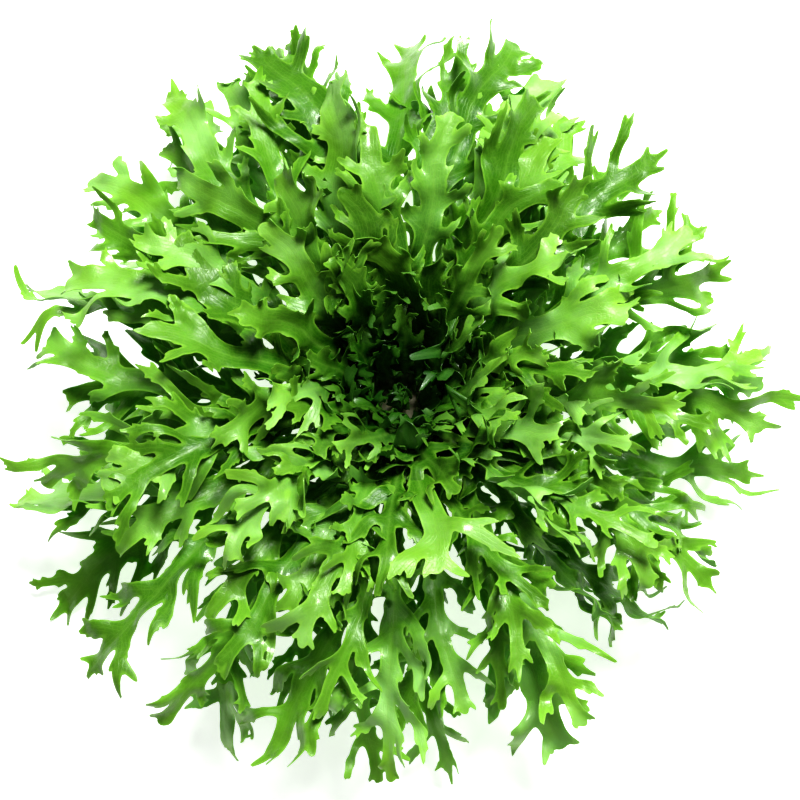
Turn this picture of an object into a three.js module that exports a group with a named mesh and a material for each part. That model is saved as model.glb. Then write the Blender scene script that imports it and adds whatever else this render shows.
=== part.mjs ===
// Curly endive head, cut at the root and resting on the cut face, with its leaves fanned open.
// Millimetres, +Z up. The origin is the middle of the cut face, which lies on the table at Z = 0.
import * as THREE from "three";
import { mergeVertices } from "three/addons/utils/BufferGeometryUtils.js";

// ---------- driving dimensions ----------
const LEAF_COUNT = 56; // leaves that are long enough to be pulled off one by one
const GOLDEN_ANGLE = 137.508; // degrees from each leaf to the next one in
const FIRST_AZIMUTH = 214; // degrees, the outermost leaf

const CUT_RADIUS = 16; // the knife cut through the root
const CROWN_RADIUS = 24; // the widest part of the crown
const CROWN_RIM_HEIGHT = 7;
const CROWN_TOP_HEIGHT = 15;
const CROWN_TOP_SHARES = [1, 0.8, 0.55, 0.3, 0]; // of the radius, where its rounded top has a ring
const CROWN_SIDES = 24;
const CUT_BEVEL = [5, 2.5]; // how far the crown widens just above the cut, and how high
const BUD_SPACES = 7; // leaf places in the middle that the bud takes up
const BUD_RADIUS = 5.2;
const BUD_HEIGHT = 24;
const BUD_SIDES = 12;
const BUD_PROFILE = [[0, 0], [0.7, 0], [1, 0.3], [0.8, 0.65], [0, 1]]; // shares of its radius and height
const GROWTH_GAP = 0.5; // between the crown and what grows on it

// Every leaf leaves the crown at its own slope and bends down towards one common slope, so the
// leaves nest in each other like the layers of a fountain and never cross.
const LOWEST_SLOPE = 20; // degrees above the table where the outermost leaf starts
const STEEPEST_SLOPE = 87; // the innermost leaf
const SLOPE_SPREAD = 0.86; // below 1 the slopes rise faster among the outer leaves
const DROOP_SLOPE = -70; // the slope that all leaves bend towards
const DROOP_LENGTH = 222; // the length at which a leaf would reach it
const DROOP_POWER = 1.45; // above 1 a leaf keeps its slope near the crown and bends near its tip

// Leaf length and lobe reach, from the outermost leaf to the innermost.
const LENGTHS = [146, 155, 165, 172, 160, 138, 104, 66];
const LOBE_REACHES = [25, 26, 26, 25, 24, 22, 17, 9];
// How much longer or shorter the outer leaves are, by azimuth: 0, 30, 60 ... 330 degrees.
const OUTLINE = [1.02, 0.86, 0.9, 1.1, 1.06, 1.16, 0.82, 1.18, 1.06, 1.02, 1.0, 0.8];
const OUTLINE_FADE = 0.75; // share of the leaves, counted from outside, over which that fades out

const PATH_STEP = 1.5; // between the points at which a midrib's path is worked out
const SWEEP_ROOM = 0.08; // share of the length that the path runs on past the tip, for swept lobes

const STALK_WIDTH_OUTER = 7.2;
const STALK_WIDTH_INNER = 3.6;
const RIB_THICKNESS_OUTER = 5.2;
const RIB_THICKNESS_INNER = 2.4;
const TIP_THICKNESS_SHARE = 0.55;
const TROUGH = 0.13; // how far the lobes rise above the midrib, as a share of their reach
const MOST_SWAY = 13; // degrees that a leaf may swing sideways between its base and its tip
const SWAY_POWER = 1.6; // above 1 the swing comes mostly near the tip
const LENGTH_VARIETY = 0.05; // shares by which one leaf differs from the next
const REACH_VARIETY = 0.1;
const LOBE_VARIETY = 0.14;

// Stations along a leaf: share of its length, share of the lobe reach, and the lobes' forward sweep.
const STALK_STATIONS = [0.03, 0.17, 0.32];
const LOBE_STATIONS = [
  { along: 0.41, reach: 0.2, sweep: 0 },
  { along: 0.46, reach: 0.55, sweep: 0.045 },
  { along: 0.535, reach: 0.22, sweep: 0 },
  { along: 0.59, reach: 0.85, sweep: 0.055 },
  { along: 0.665, reach: 0.26, sweep: 0 },
  { along: 0.72, reach: 1.0, sweep: 0.06 },
  { along: 0.8, reach: 0.3, sweep: 0 },
  { along: 0.85, reach: 0.72, sweep: 0.05 },
  { along: 0.925, reach: 0.28, sweep: 0 },
];

const GROUPS = [
  { name: "outer_leaf", from: 0, to: 18, colour: 0x5f9a2a },
  { name: "middle_leaf", from: 18, to: 36, colour: 0x6ba832 },
  { name: "inner_leaf", from: 36, to: 56, colour: 0x84b845 },
];

// ---------- small helpers ----------
const radians = THREE.MathUtils.degToRad;
const mix = THREE.MathUtils.lerp;
const clamp = THREE.MathUtils.clamp;

// A value from a short list, read at a share from 0 to 1 along it.
function along(list, share) {
  const at = clamp(share, 0, 1) * (list.length - 1);
  const low = Math.min(Math.floor(at), list.length - 2);
  return mix(list[low], list[low + 1], at - low);
}

// The same for a list that goes once round the head.
function around(list, degrees) {
  const at = (((degrees % 360) + 360) % 360) * (list.length / 360);
  const low = Math.floor(at);
  return mix(list[low % list.length], list[(low + 1) % list.length], at - low);
}

// A repeatable number from -1 to 1 for one trait of one leaf.
function whim(leaf, trait) {
  const wave = Math.sin(leaf * 12.9898 + trait * 78.233) * 43758.5453;
  return 2 * (wave - Math.floor(wave)) - 1;
}

function crownHeight(radius) {
  return mix(CROWN_TOP_HEIGHT, CROWN_RIM_HEIGHT, (radius / CROWN_RADIUS) ** 2);
}

// ---------- one leaf ----------
function leafTraits(index) {
  const inward = index / (LEAF_COUNT - 1);
  const azimuth = FIRST_AZIMUTH + index * GOLDEN_ANGLE;
  const fade = clamp(1 - inward / OUTLINE_FADE, 0, 1);
  const outline = mix(1, around(OUTLINE, azimuth), fade);
  return {
    inward,
    azimuth,
    rootRadius: (CROWN_RADIUS - 1) * Math.sqrt(1 - index / (LEAF_COUNT + BUD_SPACES)),
    slope: mix(LOWEST_SLOPE, STEEPEST_SLOPE, inward ** SLOPE_SPREAD),
    length: along(LENGTHS, inward) * outline * (1 + LENGTH_VARIETY * whim(index, 1)),
    reach: along(LOBE_REACHES, inward) * (1 + REACH_VARIETY * whim(index, 2)),
    stalk: mix(STALK_WIDTH_OUTER, STALK_WIDTH_INNER, inward) / 2,
    rib: mix(RIB_THICKNESS_OUTER, RIB_THICKNESS_INNER, inward) / 2,
    sway: MOST_SWAY * whim(index, 3),
  };
}

// The midrib's path in the upright plane through the head's axis: radius, height and slope.
function midribPath(leaf) {
  const path = [];
  let radius = leaf.rootRadius;
  let height = crownHeight(leaf.rootRadius) + GROWTH_GAP + leaf.rib;
  for (let run = 0; run <= leaf.length * (1 + SWEEP_ROOM); run += PATH_STEP) {
    const bend = ((run + PATH_STEP / 2) / DROOP_LENGTH) ** DROOP_POWER;
    const slope = radians(mix(leaf.slope, DROOP_SLOPE, bend));
    path.push({ radius, height, slope });
    radius += PATH_STEP * Math.cos(slope);
    height += PATH_STEP * Math.sin(slope);
  }
  return path;
}

function pathPoint(path, run) {
  const at = clamp(run / PATH_STEP, 0, path.length - 1.001);
  const low = Math.floor(at);
  const [a, b] = [path[low], path[low + 1]];
  return {
    radius: mix(a.radius, b.radius, at - low),
    height: mix(a.height, b.height, at - low),
    slope: mix(a.slope, b.slope, at - low),
  };
}

// A point at a share of the leaf's length, so far to its left, and so far above its path.
function leafPoint(leaf, path, share, left, lift) {
  const p = pathPoint(path, share * leaf.length);
  const radius = p.radius - lift * Math.sin(p.slope);
  const height = p.height + lift * Math.cos(p.slope);
  const sway = leaf.sway * share ** SWAY_POWER;
  const angle = radians(leaf.azimuth + sway) + left / Math.max(p.radius, 1);
  return new THREE.Vector3(radius * Math.cos(angle), radius * Math.sin(angle), height);
}

function stations(leaf) {
  const stalk = STALK_STATIONS.map((share) => ({ along: share, left: leaf.stalk, right: leaf.stalk, sweep: 0 }));
  const lobes = LOBE_STATIONS.map((s, n) => ({
    along: s.along,
    left: leaf.reach * s.reach * (1 + LOBE_VARIETY * whim(leaf.azimuth, 10 + n)),
    right: leaf.reach * s.reach * (1 + LOBE_VARIETY * whim(leaf.azimuth, 30 + n)),
    sweep: s.sweep,
  }));
  return [...stalk, ...lobes];
}

// Four corners at each station, closed by one point at the base and one at the tip.
function leafGeometry(leaf) {
  const path = midribPath(leaf);
  const points = [leafPoint(leaf, path, 0, 0, 0)];
  for (const s of stations(leaf)) {
    const half = leaf.rib * mix(1, TIP_THICKNESS_SHARE, s.along);
    const edge = s.along + s.sweep;
    points.push(leafPoint(leaf, path, s.along, 0, half));
    points.push(leafPoint(leaf, path, edge, s.left, TROUGH * s.left));
    points.push(leafPoint(leaf, path, s.along, 0, -half));
    points.push(leafPoint(leaf, path, edge, -s.right, TROUGH * s.right));
  }
  points.push(leafPoint(leaf, path, 1, 0, 0));
  return closedTube(points, 4);
}

// A skin over rings of corners, with a single point before the first ring and after the last.
function closedTube(points, corners) {
  const faces = [];
  const rings = (points.length - 2) / corners;
  const last = points.length - 1;
  for (let c = 0; c < corners; c++) {
    const next = (c + 1) % corners;
    faces.push(0, 1 + c, 1 + next);
    for (let r = 0; r < rings - 1; r++) {
      const [a, b] = [1 + r * corners + c, 1 + r * corners + next];
      faces.push(a, b + corners, b, a, a + corners, b + corners);
    }
    faces.push(last, last - corners + next, last - corners + c);
  }
  const geometry = new THREE.BufferGeometry().setFromPoints(points);
  geometry.setIndex(faces);
  geometry.computeVertexNormals();
  return geometry;
}

function material(colour, roughness) {
  return new THREE.MeshStandardMaterial({ color: colour, roughness, metalness: 0 });
}

function leafMesh(index) {
  const group = GROUPS.find((g) => index >= g.from && index < g.to);
  const mesh = new THREE.Mesh(leafGeometry(leafTraits(index)), material(group.colour, 0.45));
  mesh.name = `${group.name}_${String(index - group.from + 1).padStart(2, "0")}`;
  return mesh;
}

// ---------- the crown and the bud ----------
// A shape turned about the head's axis. The profile starts and ends on the axis.
function turnedShape(profile, sides) {
  const points = profile.map(([radius, height]) => new THREE.Vector2(radius, height));
  const geometry = new THREE.LatheGeometry(points, sides);
  geometry.rotateX(Math.PI / 2);
  geometry.deleteAttribute("normal");
  geometry.deleteAttribute("uv");
  return mergeVertices(geometry, 1e-4);
}

function crownMesh() {
  const [widening, rise] = CUT_BEVEL;
  const profile = [[0, 0], [CUT_RADIUS, 0], [CUT_RADIUS + widening, rise]];
  for (const share of CROWN_TOP_SHARES) {
    profile.push([share * CROWN_RADIUS, crownHeight(share * CROWN_RADIUS)]);
  }
  const mesh = new THREE.Mesh(turnedShape(profile, CROWN_SIDES), material(0xd9d8a8, 0.6));
  mesh.name = "crown";
  return mesh;
}

// The growing tip: leaves too young to be told apart, packed into one pointed bud.
function budMesh() {
  const foot = CROWN_TOP_HEIGHT + GROWTH_GAP;
  const profile = BUD_PROFILE.map(([out, up]) => [out * BUD_RADIUS, foot + up * BUD_HEIGHT]);
  const mesh = new THREE.Mesh(turnedShape(profile, BUD_SIDES), material(0xc9dc7a, 0.5));
  mesh.name = "heart_bud";
  return mesh;
}

// ---------- the head ----------
const endive = new THREE.Group();
endive.add(crownMesh(), budMesh());
for (let index = 0; index < LEAF_COUNT; index++) endive.add(leafMesh(index));

export default endive;
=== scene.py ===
"""Curly endive head: lobed and toothed leaves, a packed heart and a cut crown, on the plain CAD parts."""

import math
from collections import namedtuple
from functools import cache

import bpy
import numpy as np
from bpy.props import FloatProperty, FloatVectorProperty, IntProperty, PointerProperty
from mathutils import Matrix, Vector


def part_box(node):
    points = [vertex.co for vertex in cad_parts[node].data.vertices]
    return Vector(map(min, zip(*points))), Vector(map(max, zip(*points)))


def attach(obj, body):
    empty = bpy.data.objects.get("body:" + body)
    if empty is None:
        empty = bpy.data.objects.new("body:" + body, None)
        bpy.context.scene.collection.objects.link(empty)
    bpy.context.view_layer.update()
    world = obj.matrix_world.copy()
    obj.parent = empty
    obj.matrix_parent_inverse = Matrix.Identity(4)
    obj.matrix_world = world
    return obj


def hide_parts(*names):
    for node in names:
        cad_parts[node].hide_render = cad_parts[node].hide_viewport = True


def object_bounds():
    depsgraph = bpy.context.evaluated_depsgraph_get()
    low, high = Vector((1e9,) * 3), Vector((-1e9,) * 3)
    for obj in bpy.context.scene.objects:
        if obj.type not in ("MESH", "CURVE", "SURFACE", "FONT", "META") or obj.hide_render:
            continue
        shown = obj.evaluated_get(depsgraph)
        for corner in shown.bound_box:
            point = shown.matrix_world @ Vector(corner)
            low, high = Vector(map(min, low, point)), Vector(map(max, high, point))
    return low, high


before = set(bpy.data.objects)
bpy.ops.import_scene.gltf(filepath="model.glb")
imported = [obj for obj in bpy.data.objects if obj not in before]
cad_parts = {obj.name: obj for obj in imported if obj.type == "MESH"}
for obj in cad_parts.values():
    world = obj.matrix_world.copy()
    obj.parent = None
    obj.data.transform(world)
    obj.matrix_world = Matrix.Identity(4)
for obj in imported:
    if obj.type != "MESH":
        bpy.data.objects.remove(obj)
CAD_BOX = [list(corner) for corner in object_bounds()]

bl_info = {
    "name": "Curly endive head",
    "version": (1, 0, 0),
    "blender": (4, 5, 0),
    "location": "3D View > Sidebar > Endive",
    "description": "Builds the leaves, heart, crown and stage of a curly endive head",
    "category": "Object",
}

MM = 0.001
ROOT = "root"
PLAIN_CORNERS = 4  # corners of each ring of a plain CAD leaf
ROOT_DEPTH = 2.5 * MM  # how far a leaf's foot sinks into the crown
PATH_STEP = 1.5 * MM
PATH_SOFTNESS = 5.0 * MM  # over which the kinks of a plain leaf's path are rounded
PATH_EXTRA = 0.12  # share of the length that a path runs on past the tip
TOOTH_POINT = 0.12 * MM  # half-width of a tooth at its point
TOOTH_BLEND = 0.8 * MM  # how softly a tooth rises from the edge
GOLDEN_ANGLE = 137.508  # degrees from each leaf to the next
SMOOTH_ANGLE = 58  # degrees, above which an edge of a blade shows as sharp

# How the strokes of a blade vary: (lowest, highest). Angles are in degrees, and lengths of lobes are shares
# of the blade's reach.
LOBE_SLOPE = (33, 55)
LOBE_TURN = (-4, 46)
LOBE_LENGTH = (0.72, 1.15)
LOBE_WIDTH = (0.85, 1.2)
LOBE_BELLY = (0.7, 1.0)
POINTED_TIP = (0.1, 0.22)
BLUNT_TIP = (0.4, 0.6)
POINTED_CHANCE = 0.75
LOBE_TEETH = (2, 6)
FORK_CHANCE = 0.75
FORK_SLOPE = (28, 48)
FORK_LENGTH = (0.22, 0.42)
CLAW_SLOPE = (40, 62)
CLAW_LENGTH = (0.15, 0.3)
PRONG_FAN = 32
PRONG_LENGTH = (0.28, 0.6)
TOOTH_LEAN = (36, 62)
TOOTH_SIZE = (0.4, 1.0)


# ---------- reading the plain leaves ----------
def welded(node):
    """The points of a CAD node, each one once, and its triangles as indices into them."""
    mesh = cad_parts[node].data
    corners = np.empty(len(mesh.vertices) * 3)
    mesh.vertices.foreach_get("co", corners)
    points, index = np.unique(np.round(corners.reshape(-1, 3), 7), axis=0, return_inverse=True)
    mesh.calc_loop_triangles()
    faces = np.empty(len(mesh.loop_triangles) * 3, int)
    mesh.loop_triangles.foreach_get("vertices", faces)
    return points, index.reshape(-1)[faces].reshape(-1, 3)


def ring_measure(points, near, ring):
    """The middle of a ring of four corners and half its width."""
    first = min(ring)
    facing = (ring - near[first] - {first}).pop()
    pairs = [(first, facing), tuple(ring - {first, facing})]
    thin, wide = sorted(pairs, key=lambda pair: np.linalg.norm(points[pair[0]] - points[pair[1]]))
    middle = (points[thin[0]] + points[thin[1]]) / 2
    return middle, np.linalg.norm(points[wide[0]] - points[wide[1]]) / 2


@cache
def plain_leaf(node):
    """The points along the middle of a plain leaf, from its base to its tip, and its widest half-width."""
    points, faces = welded(node)
    near = [set() for _ in points]
    for a, b, c in faces:
        near[a].update((b, c))
        near[b].update((a, c))
        near[c].update((a, b))
    ends = [v for v, around in enumerate(near) if len(around) == PLAIN_CORNERS]
    base = min(ends, key=lambda v: np.hypot(points[v][0], points[v][1]))
    middles, widths, seen, ring = [points[base]], [], {base}, set(near[base])
    while len(ring) == PLAIN_CORNERS:
        middle, width = ring_measure(points, near, ring)
        middles.append(middle)
        widths.append(width)
        seen |= ring
        ring = set().union(*(near[v] for v in ring)) - seen
    middles.append(points[ring.pop()])
    return np.array(middles), max(widths)


def softened(path, step, softness):
    """A path at even steps with its kinks rounded."""
    runs = np.concatenate([[0], np.cumsum(np.linalg.norm(np.diff(path, axis=0), axis=1))])
    at = np.arange(0, runs[-1] + step / 2, step)
    even = np.stack([np.interp(at, runs, path[:, k]) for k in range(3)], axis=1)
    reach = int(3 * softness / step)
    weights = np.exp(-0.5 * (np.arange(-reach, reach + 1) * step / softness) ** 2)
    weights /= weights.sum()
    before = 2 * even[0] - even[reach:0:-1]
    after = 2 * even[-1] - even[-2:-reach - 2:-1]
    padded = np.concatenate([before, even, after])
    return np.stack([np.convolve(padded[:, k], weights, "valid") for k in range(3)], axis=1)


def unit(vectors):
    return vectors / np.linalg.norm(vectors, axis=-1, keepdims=True)


Path = namedtuple("Path", "points sides length")
HALF_SWINGS = (0.8, 1.6)  # how often a path swings to one side
DIP_SHARE = 0.5  # how far a path dips or rises, compared with its swing


def leaf_path(middles, habit, rng):
    """A leaf's midrib from inside the crown to past its tip, with the direction of its right side."""
    length = np.linalg.norm(np.diff(middles, axis=0), axis=1).sum()
    first = unit(middles[1] - middles[0])
    last = middles[-1] - middles[-2]
    lean = last - middles[-2] + middles[-3]
    past = [middles[-1] + unit(last + 0.5 * lean) * PATH_EXTRA * length]
    corners = np.concatenate([[middles[0] - first * ROOT_DEPTH], middles, past])
    path = softened(corners, PATH_STEP, PATH_SOFTNESS)
    ahead = unit(np.gradient(path, axis=0))
    outward = unit(path * [1, 1, 0])
    right = np.cross(outward, [0, 0, 1])
    right = unit(right - ahead * np.sum(right * ahead, axis=1, keepdims=True))
    up = np.cross(right, ahead)
    share = np.linspace(0, 1, len(path))[:, None]
    swing = habit.wander * rng.uniform(-1, 1) * np.sin(np.pi * rng.uniform(*HALF_SWINGS) * share) * share
    dip = habit.wander * DIP_SHARE * rng.uniform(-1, 1) * share**2
    path = path + right * swing + up * dip
    roll = rng.normal() * share**1.4 + 0.25 * rng.normal() * np.sin(7 * share)
    roll *= math.radians(habit.roll)
    return Path(path, right * np.cos(roll) + up * np.sin(roll), length)


# ---------- the flat shape of a blade ----------
Stroke = namedtuple("Stroke", "points widths blend lobe")
Lobe = namedtuple("Lobe", "root heading bend twist start")


def arc(root, heading, length, turn, steps=6):
    """Points along an arc. Headings are measured from straight ahead, positive to the right."""
    share = (np.arange(steps) + 0.5) / steps
    angle = heading + turn * share
    step = np.stack([np.sin(angle), np.cos(angle)], axis=1) * length / steps
    return np.concatenate([[root], root + np.cumsum(step, axis=0)])


def finger(root, heading, length, turn, half_width, blend, lobe, belly, tip):
    """A claw of blade: widest at its root, with a belly past its middle and a blunt or pointed tip."""
    points = arc(np.asarray(root, float), heading, length, turn)
    share = np.linspace(0, 1, len(points))
    swell = [1.5, 1.0, belly, (belly + tip) * 0.54, tip]
    widths = half_width * np.interp(share, [0, 0.3, 0.62, 0.85, 1], swell)
    return Stroke(points, widths, blend, lobe)


def tooth_on(stroke, share, side, length, lean):
    """A small tooth that stands on a stroke's edge and leans forward."""
    at = share * (len(stroke.points) - 1)
    low = min(int(at), len(stroke.points) - 2)
    ahead = stroke.points[low + 1] - stroke.points[low]
    width = np.interp(at, np.arange(len(stroke.widths)), stroke.widths)
    heading = math.atan2(ahead[0], ahead[1]) + side * lean
    inside = 0.5 * width
    root = stroke.points[low] + (at - low) * ahead + inside * np.array([math.sin(heading), math.cos(heading)])
    points = arc(root, heading, width / math.sin(lean) - inside + length, -side * 0.5, 3)
    base = min(0.7 * width, 0.36 * length + 0.3 * MM)
    return Stroke(points, np.linspace(base, TOOTH_POINT, len(points)), TOOTH_BLEND, stroke.lobe)


def blade_strokes(length, reach, habit, rng):
    """The strokes that make up one blade, and how each lobe curls."""
    broad = float(np.clip(habit.broad + rng.normal(0, 0.16), 0, 1))
    core_width = reach * (0.15 + 0.24 * broad) * rng.uniform(0.9, 1.1)
    bare = habit.stalk * rng.uniform(0.9, 1.1)
    share = np.linspace(-ROOT_DEPTH / length, 0.95, 40)
    foot, shoulder = habit.foot, max(habit.foot * 0.7, core_width * 0.4)
    widths = np.interp(
        share, [0, 0.06, bare * 0.8, bare + 0.04, bare + 0.2, 0.74, 0.87, 0.95],
        [foot * 1.2, foot, foot * 0.62, shoulder, core_width * 0.92, core_width, core_width * 0.86,
         core_width * 0.6])
    swing = np.sin(share * rng.uniform(13, 19) + rng.uniform(0, 6))
    sway = core_width * 0.4 * swing * np.clip(share * 2 - 0.7, 0, 1)
    core = Stroke(np.stack([sway, share * length], axis=1), widths, 0.0, 0)
    strokes, lobes = [core], [None]

    def add_lobe(stroke, start, limp):
        ahead = stroke.points[-1] - stroke.points[0]
        bend = math.radians(rng.normal(habit.lift, habit.curl)) * limp
        twist = math.radians(rng.normal(0, habit.twist)) * limp
        lobes.append(Lobe(stroke.points[0], math.atan2(ahead[0], ahead[1]), bend, twist, start))
        strokes.append(stroke)

    def add_teeth(stroke, count, low, high):
        for _ in range(count):
            size = habit.tooth * rng.uniform(*TOOTH_SIZE) ** 1.5
            lean = math.radians(rng.uniform(*TOOTH_LEAN))
            strokes.append(tooth_on(stroke, rng.uniform(low, high), rng.choice([-1, 1]), size, lean))

    for side in (-1, 1):
        pairs = habit.pairs + rng.integers(0, 2)
        shifts = rng.uniform(-0.4, 0.4, pairs) * (0.8 - bare) / pairs
        stations = np.linspace(bare + 0.02, 0.83, pairs) + shifts
        for station in stations:
            swell = np.interp(station, [bare, bare + 0.14, 0.68, 0.9], [0.42, 0.8, 1.0, 0.66])
            out = reach * swell * rng.uniform(*LOBE_LENGTH)
            steep = math.radians(rng.uniform(*LOBE_SLOPE))
            turn = math.radians(rng.uniform(*LOBE_TURN))
            half = reach * habit.finger * (0.75 + 0.3 * swell) * rng.uniform(*LOBE_WIDTH)
            root = [np.interp(station, share, sway), station * length - core_width * 0.3]
            long = out / math.sin(steep) * (1 - 0.12 * broad)
            tips = POINTED_TIP if rng.random() < POINTED_CHANCE else BLUNT_TIP
            stroke = finger(root, side * (steep + turn / 2), long, -side * turn, half, habit.web, len(lobes),
                            rng.uniform(*LOBE_BELLY), rng.uniform(*tips))
            add_lobe(stroke, core_width * 0.8, 1.0)
            add_teeth(stroke, rng.integers(*LOBE_TEETH), 0.3, 0.86)
            if out > habit.fork and rng.random() < FORK_CHANCE:
                at, fork_side = rng.integers(2, 5), rng.choice([-1, 1])
                heading = side * (steep + turn / 2) - side * turn * at / 6
                heading += fork_side * math.radians(rng.uniform(*FORK_SLOPE))
                long = half + out * rng.uniform(*FORK_LENGTH)
                fork = finger(stroke.points[at], heading, long, -fork_side * 0.4, half * 0.62,
                              habit.web * 0.6, stroke.lobe, 0.8, 0.25)
                strokes.append(fork)

        for _ in range(rng.integers(1, 3)):
            station = rng.uniform(bare + 0.05, 0.8)
            root = [np.interp(station, share, sway), station * length]
            heading = side * math.radians(rng.uniform(*CLAW_SLOPE))
            long = core_width + reach * rng.uniform(*CLAW_LENGTH)
            half = reach * habit.finger * 0.6
            claw = finger(root, heading, long, -side * 0.5, half, habit.web, 0, 0.8, 0.2)
            strokes.append(claw)

    prongs = rng.integers(2, 4)
    for heading in np.linspace(-PRONG_FAN, PRONG_FAN, prongs) + rng.uniform(-10, 10, prongs):
        long = (core_width * 0.8 + reach * rng.uniform(*PRONG_LENGTH)) * (1 - abs(heading) / 110)
        stroke = finger([np.interp(0.9, share, sway), length * 0.91], math.radians(heading), long,
                        math.radians(rng.uniform(-24, 24)), core_width * 0.42, habit.web * 0.6, len(lobes),
                        rng.uniform(0.6, 0.9), rng.uniform(0.12, 0.4))
        add_lobe(stroke, core_width * 0.4, 0.8)
        add_teeth(stroke, rng.integers(0, 2), 0.4, 0.8)
    add_teeth(core, habit.thorns, bare * 0.5, 0.88)
    return strokes, lobes


def stroke_field(at, stroke):
    """How far each point is from a stroke's edge and from its centre line, without and with a sign."""
    start, end = stroke.points[:-1], stroke.points[1:]
    run = end - start
    away = at[:, None] - start
    share = np.clip(np.sum(away * run, axis=2) / np.sum(run * run, axis=1), 0, 1)
    gap = away - share[..., None] * run
    off = np.linalg.norm(gap, axis=2)
    width = stroke.widths[:-1] + share * (stroke.widths[1:] - stroke.widths[:-1])
    edge = off - width
    best = np.argmin(edge, axis=1)
    rows = np.arange(len(at))
    turn = run[best, 1] * away[rows, best, 0] - run[best, 0] * away[rows, best, 1]
    return edge[rows, best], off[rows, best], np.sign(turn) * off[rows, best]


FIELD_REACH = 12 * MM  # beyond this distance a stroke has no effect


def blade_field(at, strokes):
    """Signed distance to the blade's edge: each stroke melts into those before it over its blend width."""
    total = None
    for stroke in strokes:
        low, high = stroke.points.min(0) - FIELD_REACH, stroke.points.max(0) + FIELD_REACH
        near = np.all((at > low) & (at < high), axis=1)
        edge = np.full(len(at), FIELD_REACH)
        if near.any():
            edge[near] = stroke_field(at[near], stroke)[0]
        if total is None:
            total = edge
            continue
        mix = np.clip(0.5 + 0.5 * (edge - total) / stroke.blend, 0, 1)
        total = edge + (total - edge) * mix - stroke.blend * mix * (1 - mix)
    return total


def lattice(low, high, step):
    """A triangular lattice over a box: its points and its triangles, all turning left."""
    row_height = step * math.sqrt(3) / 2
    columns = math.ceil((high[0] - low[0]) / step) + 2
    rows = math.ceil((high[1] - low[1]) / row_height) + 2
    column, row = np.meshgrid(np.arange(columns), np.arange(rows))
    shift = np.where(row % 2, 0.0, -0.5)
    points = np.stack([low[0] + (column + shift) * step, low[1] + row * row_height], axis=2).reshape(-1, 2)
    index = row * columns + column
    a, b, c, d = index[:-1, :-1], index[:-1, 1:], index[1:, :-1], index[1:, 1:]
    odd = (row[:-1, :-1] % 2).astype(bool)
    one = np.stack([a, b, np.where(odd, d, c)], axis=2)
    two = np.stack([np.where(odd, a, b), d, c], axis=2)
    return points, np.concatenate([one.reshape(-1, 3), two.reshape(-1, 3)])


def edges_of(triangles):
    pairs = np.concatenate([triangles[:, [0, 1]], triangles[:, [1, 2]], triangles[:, [2, 0]]])
    return np.unique(np.sort(pairs, axis=1), axis=0)


SNAP = 0.32  # a lattice point this near to the outline, as a share of an edge, moves onto it


def snapped(points, value, edges):
    """Lattice points that lie close to the outline are moved onto it."""
    a, b = edges.T
    crossing = value[a] * value[b] < 0
    a, b = a[crossing], b[crossing]
    share = value[a] / (value[a] - value[b])
    spot = points[a] + share[:, None] * (points[b] - points[a])
    who, near = np.concatenate([a, b]), np.concatenate([share, 1 - share])
    where = np.concatenate([spot, spot])
    order = np.argsort(-near)
    order = order[near[order] < SNAP]
    points, value = points.copy(), value.copy()
    points[who[order]] = where[order]
    value[who[order]] = 0
    return points, value


def cut_blade(strokes, step):
    """The flat blade as points and triangles, with its outline cut to the strokes."""
    every = np.concatenate([s.points for s in strokes])
    margin = max(s.widths.max() for s in strokes) + 2 * step
    points, triangles = lattice(every.min(0) - margin, every.max(0) + margin, step)
    value = blade_field(points, strokes)
    close = np.any(value[triangles] < step, axis=1)
    triangles = triangles[close]
    points, value = snapped(points, value, edges_of(triangles))
    edges = edges_of(triangles)
    edges = edges[value[edges[:, 0]] * value[edges[:, 1]] < 0]
    share = (value[edges[:, 0]] / (value[edges[:, 0]] - value[edges[:, 1]]))[:, None]
    cuts = points[edges[:, 0]] + share * (points[edges[:, 1]] - points[edges[:, 0]])
    keys = edges[:, 0] * len(points) + edges[:, 1]

    def cut_between(u, v):
        return len(points) + np.searchsorted(keys, np.minimum(u, v) * len(points) + np.maximum(u, v))

    sign = np.sign(value)[triangles]
    kept = [triangles[(sign.max(1) <= 0) & (sign.min(1) < 0)]]
    for turn in range(3):
        turned, marks = np.roll(triangles, -turn, axis=1), np.roll(sign, -turn, axis=1)
        u, v, w = turned[(marks == (1, -1, -1)).all(axis=1)].T
        kept.append(np.stack([v, w, cut_between(w, u)], 1))
        kept.append(np.stack([v, cut_between(w, u), cut_between(u, v)], 1))
        u, v, w = turned[(marks == (1, 1, -1)).all(axis=1)].T
        kept.append(np.stack([cut_between(v, w), w, cut_between(w, u)], 1))
        u, v, w = turned[(marks == (1, 0, -1)).all(axis=1)].T
        kept.append(np.stack([v, w, cut_between(w, u)], 1))
        u, v, w = turned[(marks == (1, -1, 0)).all(axis=1)].T
        kept.append(np.stack([v, w, cut_between(u, v)], 1))
    return one_sheet(np.concatenate([points, cuts]), np.concatenate(kept))


def outline_of(triangles, count):
    """The directed edges with a triangle on one side only."""
    pairs = np.concatenate([triangles[:, [0, 1]], triangles[:, [1, 2]], triangles[:, [2, 0]]])
    forward = pairs[:, 0] * count + pairs[:, 1]
    backward = pairs[:, 1] * count + pairs[:, 0]
    return pairs[~np.isin(forward, backward)]


PINCH_ROUNDS = 6  # times that corners where two parts of the outline meet are looked for


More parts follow.
